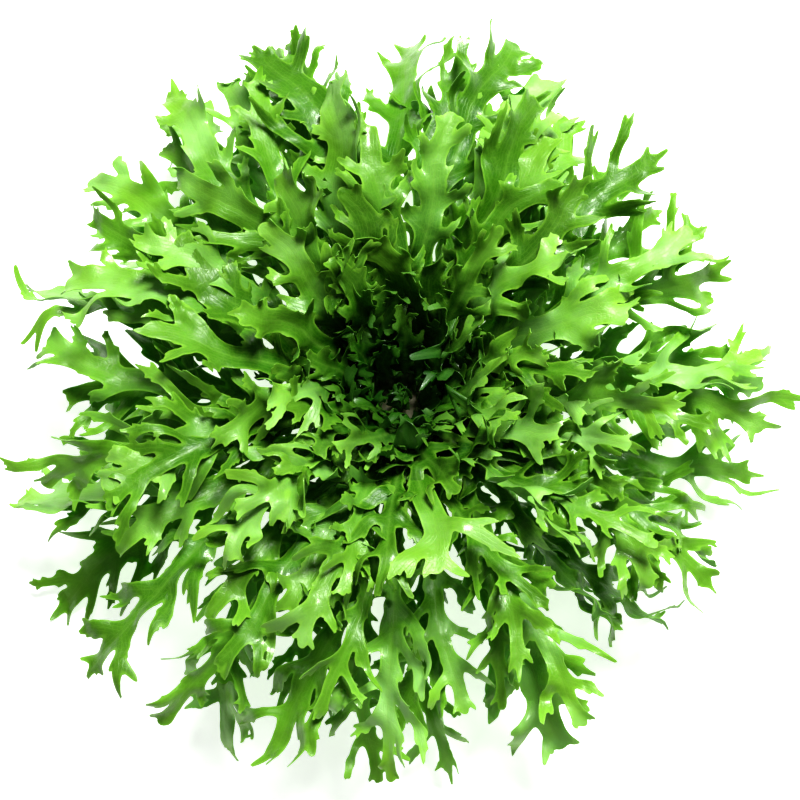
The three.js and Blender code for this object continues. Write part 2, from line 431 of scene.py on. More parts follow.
def one_sheet(points, triangles):
    """Only the largest connected piece, with no two corners of its outline meeting in one point."""
    count = len(points)
    for _ in range(PINCH_ROUNDS):
        label = np.arange(count)
        while True:
            lowest = label[triangles].min(1)
            fresh = label.copy()
            for corner in range(3):
                np.minimum.at(fresh, triangles[:, corner], lowest)
            if (fresh == label).all():
                break
            label = fresh
        names, sizes = np.unique(label[triangles[:, 0]], return_counts=True)
        triangles = triangles[label[triangles[:, 0]] == names[np.argmax(sizes)]]
        starts, uses = np.unique(outline_of(triangles, count)[:, 0], return_counts=True)
        pinched = starts[uses > 1]
        if len(pinched) == 0:
            break
        triangles = triangles[~np.isin(triangles, pinched).any(axis=1)]
    used, index = np.unique(triangles, return_inverse=True)
    return points[used], index.reshape(-1, 3)


# ---------- the blade in three dimensions ----------
def curled(flat, strokes, lobes, habit, rng):
    """The blade with its lobes bent and twisted, and each point's offsets for the ribs and the material."""
    core = strokes[0]
    fields = [stroke_field(flat, strokes[0])]
    for number in range(1, len(lobes)):
        own = [stroke_field(flat, s) for s in strokes if s.lobe == number]
        edge = np.min([f[0] for f in own], axis=0)
        fields.append((edge, own[0][1], own[0][2]))
    edges = np.stack([f[0] for f in fields])
    pull = np.exp(-(edges - edges.min(0)) / habit.hinge)
    pull /= pull.sum(0)
    flat3 = np.concatenate([flat, np.zeros((len(flat), 1))], axis=1)
    shaped = pull[0][:, None] * flat3
    for number, lobe in enumerate(lobes):
        if lobe is None:
            continue
        ahead = np.array([math.sin(lobe.heading), math.cos(lobe.heading)])
        beside = np.array([math.cos(lobe.heading), -math.sin(lobe.heading)])
        along, across = (flat - lobe.root) @ ahead, (flat - lobe.root) @ beside
        past = np.maximum(along - lobe.start, 0)
        longest = max(past[edges[number] < 0].max(initial=0), MM)
        curve = (lobe.bend if abs(lobe.bend) > 0.01 else 0.01) / longest
        lean, spin = curve * past, lobe.twist * past / longest
        rise, reach = (1 - np.cos(lean)) / curve, np.sin(lean) / curve
        lift = across * np.sin(spin)
        run = along - past + reach - lift * np.sin(lean)
        wide = across * np.cos(spin)
        spot = lobe.root + run[:, None] * ahead + wide[:, None] * beside
        spot3 = np.concatenate([spot, (rise + lift * np.cos(lean))[:, None]], axis=1)
        shaped += pull[number][:, None] * spot3
    core_width = core.widths.max()
    outward = np.abs(flat[:, 0]) / core_width
    side = np.where(flat[:, 0] > 0, 0.0, rng.uniform(1, 5))
    wave = np.sin(2 * np.pi * flat[:, 1] / (habit.wave * rng.uniform(0.8, 1.25)) + side + rng.uniform(0, 6))
    shaped[:, 2] += habit.ruffle * wave * np.clip(outward, 0, 1.6) ** 1.5
    shaped[:, 2] += habit.trough * np.clip(outward, 0, 2.2) ** 1.6 * core_width
    strongest = np.argmax(pull, axis=0)
    rows = np.arange(len(flat))
    across = np.stack([f[2] for f in fields])[strongest, rows]
    off = np.stack([f[1] for f in fields])
    return shaped, across, off[0], np.min(off[1:], axis=0)


def mesh_from(name, points, triangles):
    mesh = bpy.data.meshes.new(name)
    mesh.vertices.add(len(points))
    mesh.vertices.foreach_set("co", np.asarray(points, np.float32).ravel())
    mesh.loops.add(3 * len(triangles))
    mesh.loops.foreach_set("vertex_index", np.asarray(triangles, np.int32).ravel())
    mesh.polygons.add(len(triangles))
    mesh.polygons.foreach_set("loop_start", np.arange(0, 3 * len(triangles), 3, dtype=np.int32))
    mesh.update(calc_edges=True)
    return mesh


def give_points(mesh, name, values):
    """An attribute with one number or one vector for each point."""
    values = np.asarray(values, np.float32)
    kind, field = ("FLOAT", "value") if values.ndim == 1 else ("FLOAT_VECTOR", "vector")
    mesh.attributes.new(name, kind, "POINT").data.foreach_set(field, values.ravel())


def point_normals(points, triangles):
    a, b, c = (points[triangles[:, k]] for k in range(3))
    flat_normals = np.cross(b - a, c - a)
    normals = np.zeros_like(points)
    for corner in range(3):
        np.add.at(normals, triangles[:, corner], flat_normals)
    return unit(normals + 1e-12)


RIB_TIP_WIDTH = 0.45 * MM
VEIN_WIDTH = 0.9 * MM  # of the vein along each lobe
VEIN_STRENGTH = 0.55  # compared with the midrib
EDGE_THICKNESS = 0.45  # share of the blade's thickness at its very edge
EDGE_TAPER = 2.5 * MM


def closed_blade(name, flat, triangles, strokes, lobes, habit, length, rng):
    """A closed thin blade, thick along its rib, that still lies along a straight midrib."""
    sheet, across, rib_off, vein_off = curled(flat, strokes, lobes, habit, rng)
    count = len(flat)
    rim = outline_of(triangles, count)
    share = np.clip(flat[:, 1] / length, 0, 1)
    rib_width = np.interp(share, [0, 0.5, 1], [habit.foot * 0.85, habit.foot * 0.42, RIB_TIP_WIDTH])
    rib = np.exp(-((rib_off / rib_width) ** 2))
    vein = np.exp(-((vein_off / VEIN_WIDTH) ** 2)) * VEIN_STRENGTH
    margin = -blade_field(flat, strokes)
    thick = habit.thickness * np.clip(EDGE_THICKNESS + margin / EDGE_TAPER, EDGE_THICKNESS, 1) / 2
    above = thick - habit.rib_depth * 0.22 * rib * (1 - 0.6 * share)
    below = thick + habit.rib_depth * rib * (1 - 0.75 * share) + habit.rib_depth * 0.16 * vein
    normals = point_normals(sheet, triangles)
    solid = np.concatenate([sheet + normals * above[:, None], sheet - normals * below[:, None]])
    start, end = rim.T
    walls = [np.stack([end, start, start + count], 1), np.stack([end, start + count, end + count], 1)]
    faces = np.concatenate([triangles, triangles[:, ::-1] + count, *walls])
    mesh = mesh_from(name, solid, faces)
    twice = {
        "across": across / MM,
        "margin": np.clip(margin / MM, 0, 9),
        "rib": np.maximum(rib, vein),
        "share": share,
        "tone": np.full(count, rng.uniform(0, 1)),
    }
    for name, values in twice.items():
        give_points(mesh, name, np.tile(values, 2))
    give_points(mesh, "under", np.repeat([0.0, 1.0], count))
    spread = np.concatenate([flat, np.full((count, 1), rng.uniform(0, 1))], axis=1)
    give_points(mesh, "grain", np.tile(spread, (2, 1)))
    return mesh


# ---------- node helpers ----------
def add(tree, kind, inputs=None, **settings):
    """A node with its settings, and its inputs by name or number, each a value or another node's socket."""
    node = tree.nodes.new(kind)
    for key, value in settings.items():
        setattr(node, key, value)
    for key, value in (inputs or {}).items():
        if isinstance(value, bpy.types.NodeSocket):
            tree.links.new(value, node.inputs[key])
        else:
            node.inputs[key].default_value = value
    return node


def maths(tree, operation, *values):
    return add(tree, "ShaderNodeMath", dict(enumerate(values)), operation=operation).outputs[0]


def vectors(tree, operation, *values):
    return add(tree, "ShaderNodeVectorMath", dict(enumerate(values)), operation=operation).outputs[0]


def scaled(tree, vector, factor):
    inputs = {"Vector": vector, "Scale": factor}
    return add(tree, "ShaderNodeVectorMath", inputs, operation="SCALE").outputs[0]


def new_tree(name, kind, sockets):
    """A node group with its named sockets: (name, 'INPUT' or 'OUTPUT', socket type, default or None)."""
    tree = bpy.data.node_groups.new(name, kind)
    for label, way, socket_type, default in sockets:
        socket = tree.interface.new_socket(label, in_out=way, socket_type=socket_type)
        if default is not None:
            socket.default_value = default
    return tree, add(tree, "NodeGroupInput"), add(tree, "NodeGroupOutput")


def set_inputs(modifier, values):
    """A modifier's inputs by name, set through the identifiers of their sockets."""
    for item in modifier.node_group.interface.items_tree:
        if item.item_type == "SOCKET" and item.in_out == "INPUT" and item.name in values:
            modifier[item.identifier] = values[item.name]


NOISE_RANGE = 4.0  # brings the noise, which keeps near its middle, to about one height up and down


def follow_midrib_tree():
    """Geometry nodes that lay a straight blade along a midrib and crinkle it."""
    tree, given, result = new_tree("Follow midrib", "GeometryNodeTree", [
        ("Geometry", "INPUT", "NodeSocketGeometry", None),
        ("Midrib", "INPUT", "NodeSocketObject", None),
        ("Root Depth", "INPUT", "NodeSocketFloat", ROOT_DEPTH),
        ("Crinkle Height", "INPUT", "NodeSocketFloat", 0.5 * MM),
        ("Crinkle Size", "INPUT", "NodeSocketFloat", 9 * MM),
        ("Seed", "INPUT", "NodeSocketFloat", 0.0),
        ("Material", "INPUT", "NodeSocketMaterial", None),
        ("Geometry", "OUTPUT", "NodeSocketGeometry", None),
    ])
    midrib = add(tree, "GeometryNodeObjectInfo", {"Object": given.outputs["Midrib"]},
                 transform_space="ORIGINAL")
    curve = add(tree, "GeometryNodeMeshToCurve", {"Mesh": midrib.outputs["Geometry"]})
    side = add(tree, "GeometryNodeInputNamedAttribute", {"Name": "side"}, data_type="FLOAT_VECTOR")
    spot = add(tree, "GeometryNodeInputPosition").outputs[0]
    parts = add(tree, "ShaderNodeSeparateXYZ", {"Vector": spot}).outputs
    run = maths(tree, "ADD", parts["Y"], given.outputs["Root Depth"])
    sample = add(tree, "GeometryNodeSampleCurve", {
        "Curves": curve.outputs["Curve"], "Value": side.outputs["Attribute"], "Length": run,
    }, data_type="FLOAT_VECTOR", mode="LENGTH")
    right = vectors(tree, "NORMALIZE", sample.outputs["Value"])
    up = vectors(tree, "NORMALIZE", vectors(tree, "CROSS_PRODUCT", right, sample.outputs["Tangent"]))
    density = maths(tree, "DIVIDE", 1.0, given.outputs["Crinkle Size"])
    noise = add(tree, "ShaderNodeTexNoise", {
        "Vector": spot, "W": given.outputs["Seed"], "Scale": density, "Detail": 2.0, "Roughness": 0.45,
    }, noise_dimensions="4D")
    centred = maths(tree, "SUBTRACT", noise.outputs[0], 0.5)
    swell = maths(tree, "MULTIPLY", centred, given.outputs["Crinkle Height"])
    height = maths(tree, "MULTIPLY_ADD", swell, NOISE_RANGE, parts["Z"])
    offset = vectors(tree, "ADD", scaled(tree, right, parts["X"]), scaled(tree, up, height))
    place = vectors(tree, "ADD", sample.outputs["Position"], offset)
    moved = add(tree, "GeometryNodeSetPosition", {"Geometry": given.outputs["Geometry"], "Position": place})
    real = add(tree, "GeometryNodeRealizeInstances", {"Geometry": moved.outputs[0]})
    dressed = add(tree, "GeometryNodeSetMaterial", {
        "Geometry": real.outputs[0], "Material": given.outputs["Material"],
    })
    tree.links.new(dressed.outputs[0], result.inputs[0])
    return tree


def linked(name, data):
    thing = bpy.data.objects.new(name, data)
    bpy.context.scene.collection.objects.link(thing)
    return thing


def midrib_object(name, path):
    """A chain of edges along a midrib that carries the direction of the leaf's right side."""
    mesh = bpy.data.meshes.new(name)
    mesh.from_pydata(path.points.tolist(), [(k, k + 1) for k in range(len(path.points) - 1)], [])
    give_points(mesh, "side", path.sides)
    return linked(name, mesh)


HEADROOM = 20 * MM  # heights are pressed together over this room
HEADROOM_START = CAD_BOX[1][2] - 9 * MM
FLOOR_GAP = 0.4 * MM
FLOOR_SOFTNESS = 1.0 * MM


def kept_in_room(mesh):
    """Points that rise far above the head are pressed down, and those near the floor are lifted over it."""
    spots = np.empty(len(mesh.vertices) * 3, np.float32)
    mesh.vertices.foreach_get("co", spots)
    spots = spots.reshape(-1, 3)
    height = spots[:, 2].astype(float)
    over = np.maximum(height - HEADROOM_START, 0)
    height = np.minimum(height, HEADROOM_START) + HEADROOM * np.tanh(over / HEADROOM)
    low = (height - FLOOR_GAP) / FLOOR_SOFTNESS
    spots[:, 2] = FLOOR_GAP + FLOOR_SOFTNESS * np.logaddexp(0, low)
    mesh.vertices.foreach_set("co", spots.ravel())
    mesh.update()


def made_plain(piece):
    """The piece with its modifiers turned into a plain smooth mesh."""
    graph = bpy.context.evaluated_depsgraph_get()
    done = piece.evaluated_get(graph)
    mesh = bpy.data.meshes.new_from_object(done, preserve_all_data_layers=True, depsgraph=graph)
    piece.modifiers.clear()
    old, piece.data = piece.data, mesh
    bpy.data.meshes.remove(old)
    mesh.shade_smooth()
    mesh.set_sharp_from_angle(angle=math.radians(SMOOTH_ANGLE))
    return piece


# ---------- how each rank of leaves grows ----------
# broad: 0 for a narrow blade to 1 for a broad one; stalk: share of the length without lobes; foot: half the
# stalk's width; pairs: of lobes; finger: half a lobe's width as a share of the reach; web: how softly lobes
# join; fork: the reach from which lobes fork; thorns: teeth along the stalk; lift, curl, twist and roll: in
# degrees; hinge: over which a lobe starts to bend; trough: how far the sides rise; wander: how far the path
# sways; grid: length of the mesh's edges.
Habit = namedtuple(
    "Habit", "broad stalk foot pairs finger web fork tooth thorns lift curl twist hinge ruffle wave trough "
    "thickness rib_depth wander roll crinkle grid")


def habit_of(rank, sizes):
    """The habit of one rank of leaves, from the sizes that the panel holds."""
    outer = Habit(
        broad=0.2, stalk=0.42, foot=sizes.foot_width / 2, pairs=4, finger=0.086, web=2.6 * MM,
        fork=12 * MM, tooth=sizes.tooth_length, thorns=22, lift=8, curl=sizes.lobe_curl,
        twist=sizes.lobe_twist, hinge=1.2 * MM, ruffle=sizes.ruffle_height, wave=sizes.ruffle_length,
        trough=0.12, thickness=sizes.blade_thickness, rib_depth=sizes.rib_depth, wander=20 * MM, roll=28,
        crinkle=sizes.crinkle_height, grid=sizes.mesh_step)
    return {
        "outer_leaf": outer,
        "middle_leaf": outer._replace(roll=32, lift=12, wander=18 * MM),
        "inner_leaf": outer._replace(
            broad=0.2, stalk=0.38, foot=outer.foot * 0.68, finger=0.112, web=2.4 * MM, fork=10 * MM,
            tooth=outer.tooth * 0.8, lift=16, ruffle=outer.ruffle * 0.8, rib_depth=outer.rib_depth * 0.7,
            wander=12 * MM, roll=36),
        "arching_leaf": outer._replace(
            broad=0.35, stalk=0.26, foot=outer.foot * 0.8, finger=0.105, lift=14, wander=14 * MM, roll=34),
        "young_leaf": outer._replace(
            broad=0.3, stalk=0.25, foot=outer.foot * 0.45, finger=0.12, web=2.0 * MM, fork=9 * MM,
            tooth=outer.tooth * 0.7, thorns=8, lift=22, curl=outer.curl * 1.2, hinge=0.9 * MM,
            ruffle=outer.ruffle * 0.7, wave=outer.wave * 0.6, rib_depth=outer.rib_depth * 0.5, wander=10 * MM,
            roll=45, crinkle=outer.crinkle * 0.8, grid=outer.grid * 0.85),
    }[rank]


BROAD_SIDE = math.radians(105)  # leaves on this side of the head grow the broadest blades
BROADER = 0.32


def grow_leaf(name, middles, width, habit, material, seed):
    """One leaf along the middle line of a plain leaf, as wide as that leaf."""
    rng = np.random.default_rng(seed)
    direction = math.atan2(middles[-1][1], middles[-1][0])
    habit = habit._replace(broad=habit.broad + BROADER * math.cos(direction - BROAD_SIDE))
    path = leaf_path(middles, habit, rng)
    strokes, lobes = blade_strokes(path.length, width, habit, rng)
    flat, triangles = cut_blade(strokes, habit.grid)
    mesh = closed_blade(name, flat, triangles, strokes, lobes, habit, path.length, rng)
    midrib = midrib_object(name + ".midrib", path)
    leaf = linked(name, mesh)
    nodes = leaf.modifiers.new("Follow midrib", "NODES")
    nodes.node_group = bpy.data.node_groups.get("Follow midrib") or follow_midrib_tree()
    set_inputs(nodes, {
        "Midrib": midrib, "Root Depth": ROOT_DEPTH, "Crinkle Height": habit.crinkle, "Seed": float(seed),
        "Material": material,
    })
    made_plain(leaf)
    kept_in_room(leaf.data)
    bpy.data.objects.remove(midrib)
    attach(leaf, ROOT)
    return leaf


def rank_nodes(rank):
    return sorted(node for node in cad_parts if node.startswith(rank))


ALL_LEAVES = rank_nodes("outer_leaf") + rank_nodes("middle_leaf") + rank_nodes("inner_leaf")
FIRST_SEED = 100
YOUNG_SEED = 400


STAR_LEAF = "inner_leaf_10"  # lies on top at the front, with three long claws
STAR_REACH = 1.9
STAR_SHIFT = [3 * MM, -14 * MM, 8 * MM]  # how far its tip lies from the plain leaf's
STAR_TONE = 0.9  # a pale blade
STAR_HABIT = dict(broad=0.45, pairs=2, finger=0.09, lift=0, curl=8, twist=12, wander=0, roll=5, stalk=0.42)


def grow_rank(rank, scene):
    """A fine leaf in the place of each plain leaf of a rank."""
    material = leaf_material(rank, scene.endive_colours)
    for node in rank_nodes(rank):
        middles, width = plain_leaf(node)
        habit = habit_of(rank, scene.endive_sizes)
        if node == STAR_LEAF:
            width *= STAR_REACH
            middles = middles + np.linspace(0, 1, len(middles))[:, None] ** 1.5 * STAR_SHIFT
            habit = habit._replace(**STAR_HABIT)
        seed = FIRST_SEED + ALL_LEAVES.index(node)
        leaf = grow_leaf("fine_" + node, middles, width, habit, material, seed)
        if node == STAR_LEAF:
            tones = np.full(len(leaf.data.vertices), STAR_TONE, np.float32)
            leaf.data.attributes["tone"].data.foreach_set("value", tones)
        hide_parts(node)


FULLNESS_SPREAD = math.radians(14)


def fullness(azimuth):
    """How far the outer leaves reach in one direction, compared with all round."""
    outside = rank_nodes("outer_leaf") + rank_nodes("middle_leaf")
    tips = np.array([plain_leaf(node)[0][-1] for node in outside])
    away = np.angle(np.exp(1j * (np.arctan2(tips[:, 1], tips[:, 0]) - azimuth)))
    weights = np.exp(-0.5 * (away / FULLNESS_SPREAD) ** 2)
    reach = np.hypot(tips[:, 0], tips[:, 1])
    return np.average(reach, weights=weights) / reach.mean()


def between(node, next_node, azimuth, sway, share):
    """A middle line that nests between those of two plain leaves, in a direction of its own."""
    profiles = []
    for line in (plain_leaf(node)[0], plain_leaf(next_node)[0]):
        runs = np.concatenate([[0], np.cumsum(np.linalg.norm(np.diff(line, axis=0), axis=1))])
        at = np.linspace(0, share * runs[-1], 16)
        radius = np.hypot(line[:, 0], line[:, 1])
        profiles.append(np.stack([np.interp(at, runs, radius), np.interp(at, runs, line[:, 2])], axis=1))
    radius, height = np.mean(profiles, axis=0).T
    angle = azimuth + sway * np.linspace(0, 1, len(radius)) ** 1.6
    return np.stack([radius * np.cos(angle), radius * np.sin(angle), height], axis=1)


BETWEEN_SLOTS = {"middle_leaf": "middle_leaf", "arching_leaf": "inner_leaf", "young_leaf": "heart"}


def grow_between(count, first, last, rank, scene, share, width_share):
    """Further leaves that nest between the plain ones, from one place in the spiral to another."""
    sizes, colours = scene.endive_sizes, scene.endive_colours
    habit, slot = habit_of(rank, sizes), BETWEEN_SLOTS[rank]
    material = leaf_material(slot, colours)
    for number in range(count):
        rng = np.random.default_rng(YOUNG_SEED + first * 50 + number)
        place = round(first + (last - first) * number / max(count - 1, 1))
        node, next_node = ALL_LEAVES[place], ALL_LEAVES[min(place + 1, len(ALL_LEAVES) - 1)]
        azimuth = math.radians(GOLDEN_ANGLE * number + 50 * first + rng.uniform(-12, 12))
        sway = math.radians(rng.uniform(-16, 16))
        part = share * fullness(azimuth + sway) * rng.uniform(0.84, 1.0)
        line = between(node, next_node, azimuth, sway, part)
        width = plain_leaf(node)[1] * width_share * rng.uniform(0.85, 1.15)
        name = f"{rank}_between_{first:02d}_{number + 1:02d}"
        grow_leaf(name, line, width, habit, material, YOUNG_SEED + first * 50 + number)


# ---------- materials ----------
def veins_group():
    """Fine veins along each lobe, and the net between them, as a mask and a height."""
    tree, given, result = new_tree("Leaf veins", "ShaderNodeTree", [
        ("Across", "INPUT", "NodeSocketFloat", 0.0),
        ("Grain", "INPUT", "NodeSocketVector", None),
        ("Vein Spacing", "INPUT", "NodeSocketFloat", 1.5),
        ("Net Density", "INPUT", "NodeSocketFloat", 420.0),
        ("Veins", "OUTPUT", "NodeSocketFloat", None),
        ("Height", "OUTPUT", "NodeSocketFloat", None),
    ])
    wobble = add(tree, "ShaderNodeTexNoise", {
        "Vector": given.outputs["Grain"], "Scale": 110.0, "Detail": 2.0})
    drift = maths(tree, "MULTIPLY", maths(tree, "SUBTRACT", wobble.outputs[0], 0.5), 2.6)
    offset = maths(tree, "ADD", given.outputs["Across"], drift)
    phase = maths(tree, "DIVIDE", offset, given.outputs["Vein Spacing"])
    saw = maths(tree, "ABSOLUTE", maths(tree, "SUBTRACT", maths(tree, "FRACT", phase), 0.5))
    lines = add(tree, "ShaderNodeMapRange", {"Value": saw, 1: 0.38, 2: 0.5}, interpolation_type="SMOOTHSTEP")
    net = add(tree, "ShaderNodeTexVoronoi", {
        "Vector": given.outputs["Grain"], "Scale": given.outputs["Net Density"],
    }, feature="DISTANCE_TO_EDGE")
    mesh = add(tree, "ShaderNodeMapRange", {"Value": net.outputs["Distance"], 1: 0.12, 2: 0.0},
               interpolation_type="SMOOTHSTEP")
    both = maths(tree, "MAXIMUM", lines.outputs[0], maths(tree, "MULTIPLY", mesh.outputs[0], 0.55))
    tree.links.new(both, result.inputs["Veins"])
    rises, dips = maths(tree, "MULTIPLY", wobble.outputs[0], 0.9), maths(tree, "MULTIPLY", both, 0.5)
    tree.links.new(maths(tree, "SUBTRACT", rises, dips), result.inputs["Height"])
    return tree


def blotch_group():
    """Soft uneven patches of colour over a surface, at two sizes."""
    tree, given, result = new_tree("Uneven growth", "ShaderNodeTree", [
        ("Grain", "INPUT", "NodeSocketVector", None),
        ("Patch Density", "INPUT", "NodeSocketFloat", 32.0),
        ("Fleck Density", "INPUT", "NodeSocketFloat", 260.0),
        ("Patches", "OUTPUT", "NodeSocketFloat", None),
        ("Flecks", "OUTPUT", "NodeSocketFloat", None),
    ])
    large = add(tree, "ShaderNodeTexNoise", {
        "Vector": given.outputs["Grain"], "Scale": given.outputs["Patch Density"], "Detail": 3.0,
        "Roughness": 0.55})
    patches = add(tree, "ShaderNodeMapRange", {"Value": large.outputs[0], 1: 0.34, 2: 0.68},
                  interpolation_type="SMOOTHSTEP")
    small = add(tree, "ShaderNodeTexVoronoi", {
        "Vector": given.outputs["Grain"], "Scale": given.outputs["Fleck Density"]})
    rare = add(tree, "ShaderNodeMapRange", {"Value": small.outputs["Distance"], 1: 0.10, 2: 0.05})
    chance = add(tree, "ShaderNodeMapRange", {"Value": small.outputs["Color"], 1: 0.93, 2: 0.95})
    tree.links.new(patches.outputs[0], result.inputs["Patches"])
    tree.links.new(maths(tree, "MULTIPLY", rare.outputs[0], chance.outputs[0]), result.inputs["Flecks"])
    return tree


def wet_group():
    """Where a film of water lies: broad wet patches."""
    tree, given, result = new_tree("Wet film", "ShaderNodeTree", [
        ("Grain", "INPUT", "NodeSocketVector", None),
        ("Film Density", "INPUT", "NodeSocketFloat", 60.0),
        ("Dryness", "INPUT", "NodeSocketFloat", 0.52),
        ("Wet", "OUTPUT", "NodeSocketFloat", None),
    ])
    film = add(tree, "ShaderNodeTexNoise", {
        "Vector": given.outputs["Grain"], "Scale": given.outputs["Film Density"], "Detail": 3.0,
        "Distortion": 0.6})
    top = maths(tree, "ADD", given.outputs["Dryness"], 0.08)
    wet = add(tree, "ShaderNodeMapRange", {"Value": film.outputs[0], 1: given.outputs["Dryness"], 2: top},
              interpolation_type="SMOOTHSTEP")
    tree.links.new(wet.outputs[0], result.inputs["Wet"])
    return tree


def group_node(tree, name, build, inputs):
    """A node with one of this file's groups, which is built when it is first used."""
    group = bpy.data.node_groups.get(name) or build()
    return add(tree, "ShaderNodeGroup", inputs, node_tree=group)


def mixed(tree, share, one, two):
    """Two colours, each three numbers or a socket, mixed by a share."""
    one, two = (c if isinstance(c, bpy.types.NodeSocket) else (*c, 1.0) for c in (one, two))
    return add(tree, "ShaderNodeMix", {0: share, 6: one, 7: two}, data_type="RGBA").outputs[2]


def ramped(tree, value, low, high, top=1.0, bottom=0.0):
    return add(tree, "ShaderNodeMapRange", {"Value": value, 1: low, 2: high, 3: bottom, 4: top},
               interpolation_type="SMOOTHSTEP").outputs[0]


def trait(tree, name, output="Fac"):
    return add(tree, "ShaderNodeAttribute", attribute_name=name).outputs[output]


# yellow: painted light, how far a rank's greens are lightened towards the young green; lower_shade: painted
# shade,
#  deeper green on the lower half; shade: painted shade over the whole blade; tip_light: lightness of the
#  tips, partly their own and partly painted light; bloom: painted sheen, a pale green on the palest blades.
Look = namedtuple("Look", "yellow lower_shade shade tip_light bloom")
LOOKS = {
    "outer_leaf": Look(yellow=0.25, lower_shade=0.5, shade=0.0, tip_light=0.7, bloom=0.75),
    "middle_leaf": Look(yellow=0.2, lower_shade=0.6, shade=0.0, tip_light=0.65, bloom=0.75),
    "inner_leaf": Look(yellow=0.0, lower_shade=0.8, shade=0.15, tip_light=0.5, bloom=0.6),
    "heart": Look(yellow=0.0, lower_shade=1.0, shade=0.7, tip_light=0.15, bloom=0.1),
}


HEART_SHADE_EDGE = 50 * MM  # from here inwards the blades are painted deeper green, as painted shade of the heart
HEART_SHADE_MIDDLE = 12 * MM


def leaf_material(slot, colours):
    """Fresh leaf: green blade, pale rib and margins, bluish underside, fine veins and a film of water;
    painted light on the outer ranks and tips, painted shade on the lower halves and towards the heart, and a
    painted sheen on the palest blades.
    """
    name = slot + " blade"
    if name in bpy.data.materials:
        return bpy.data.materials[name]
    material = bpy.data.materials.new(name)
    material.use_nodes = True
    tree = material.node_tree
    shader = tree.nodes["Principled BSDF"]
    grain, across, share = trait(tree, "grain", "Vector"), trait(tree, "across"), trait(tree, "share")
    margin, rib = trait(tree, "margin"), trait(tree, "rib")
    under, tone = trait(tree, "under"), trait(tree, "tone")
    veins = group_node(tree, "Leaf veins", veins_group, {"Across": across, "Grain": grain})
    growth = group_node(tree, "Uneven growth", blotch_group, {"Grain": grain})
    wet = group_node(tree, "Wet film", wet_group, {"Grain": grain})
    look = LOOKS[slot]
    # Painted light: the outer ranks' greens are lightened, their deep green towards the blade green and the
    # blade green towards the young green.
    deep_and_shade = Vector(colours.deep_and_shade).lerp(Vector(colours.blade), look.yellow * 0.8)
    blade = Vector(colours.blade).lerp(Vector(colours.young), look.yellow)
    light = Vector(colours.tip).lerp(Vector(colours.young), look.yellow * 0.5)

    patches = growth.outputs["Patches"]
    lightness = maths(tree, "MULTIPLY_ADD", tone, 0.55, maths(tree, "MULTIPLY", patches, 0.45))
    colour = mixed(tree, lightness, deep_and_shade, blade)
    # Painted shade: the lower half of each blade, and for the inner ranks the whole blade, turns towards deep
    # green.
    colour = mixed(tree, ramped(tree, share, 0.75, 0.3, look.lower_shade), colour, deep_and_shade)
    colour = mixed(tree, look.shade, colour, deep_and_shade)
    # Lighter tips, partly the blade's own colour and partly painted light, weaker in the inner ranks and the
    # heart as painted shade.
    tip_light = maths(tree, "MULTIPLY_ADD", tone, look.tip_light, look.tip_light * 0.25)
    ends = maths(tree, "MULTIPLY", ramped(tree, share, 0.5, 1.0), tip_light)
    colour = mixed(tree, ends, colour, light)
    # Painted sheen: a pale bluish green laid over the outer halves of the palest blades in place of a
    # highlight.
    pale = maths(tree, "MULTIPLY", ramped(tree, tone, 0.3, 0.9, look.bloom), patches)
    pale = maths(tree, "MULTIPLY", pale, ramped(tree, share, 0.35, 0.75))
    colour = mixed(tree, pale, colour, colours.bloom)
    colour = mixed(tree, maths(tree, "MULTIPLY", veins.outputs["Veins"], 0.16), colour, light)
    colour = mixed(tree, ramped(tree, margin, 1.1, 0.0, 0.42), colour, light)
    colour = mixed(tree, maths(tree, "MULTIPLY", under, 0.62), colour, colours.under)
    # Painted shade: near the head's axis the blades turn deep green.
    level = vectors(tree, "MULTIPLY", add(tree, "ShaderNodeTexCoord").outputs["Object"], (1.0, 1.0, 0.0))
    out = add(tree, "ShaderNodeVectorMath", {0: level}, operation="LENGTH").outputs["Value"]
    colour = mixed(tree, ramped(tree, out, HEART_SHADE_EDGE, HEART_SHADE_MIDDLE, 0.92), colour, deep_and_shade)
    fade = ramped(tree, share, 1.0, 0.15, 0.5, 0.15)
    colour = mixed(tree, maths(tree, "MULTIPLY", rib, fade), colour, colours.rib)
    colour = mixed(tree, ramped(tree, share, 0.16, 0.02, 0.8), colour, colours.rib)
    colour = mixed(tree, maths(tree, "MULTIPLY", growth.outputs["Flecks"], 0.8), colour, colours.fleck)
    tree.links.new(colour, shader.inputs["Base Color"])

    rough = maths(tree, "MULTIPLY_ADD", patches, 0.10, 0.34)
    rough = maths(tree, "ADD", rough, maths(tree, "MULTIPLY", under, 0.12))
    tree.links.new(rough, shader.inputs["Roughness"])
    tree.links.new(maths(tree, "MULTIPLY", wet.outputs["Wet"], 0.3), shader.inputs["Coat Weight"])
    shader.inputs["Specular IOR Level"].default_value = 0.38
    shader.inputs["Coat Roughness"].default_value = 0.12
    shader.inputs["Subsurface Weight"].default_value = colours.glow
    shader.inputs["Subsurface Radius"].default_value = (0.55, 1.0, 0.22)
    shader.inputs["Subsurface Scale"].default_value = 1.2 * MM
    bump = add(tree, "ShaderNodeBump", {
        "Strength": 0.35, "Distance": 0.35 * MM, "Height": veins.outputs["Height"]})
    tree.links.new(bump.outputs["Normal"], shader.inputs["Normal"])
    return material


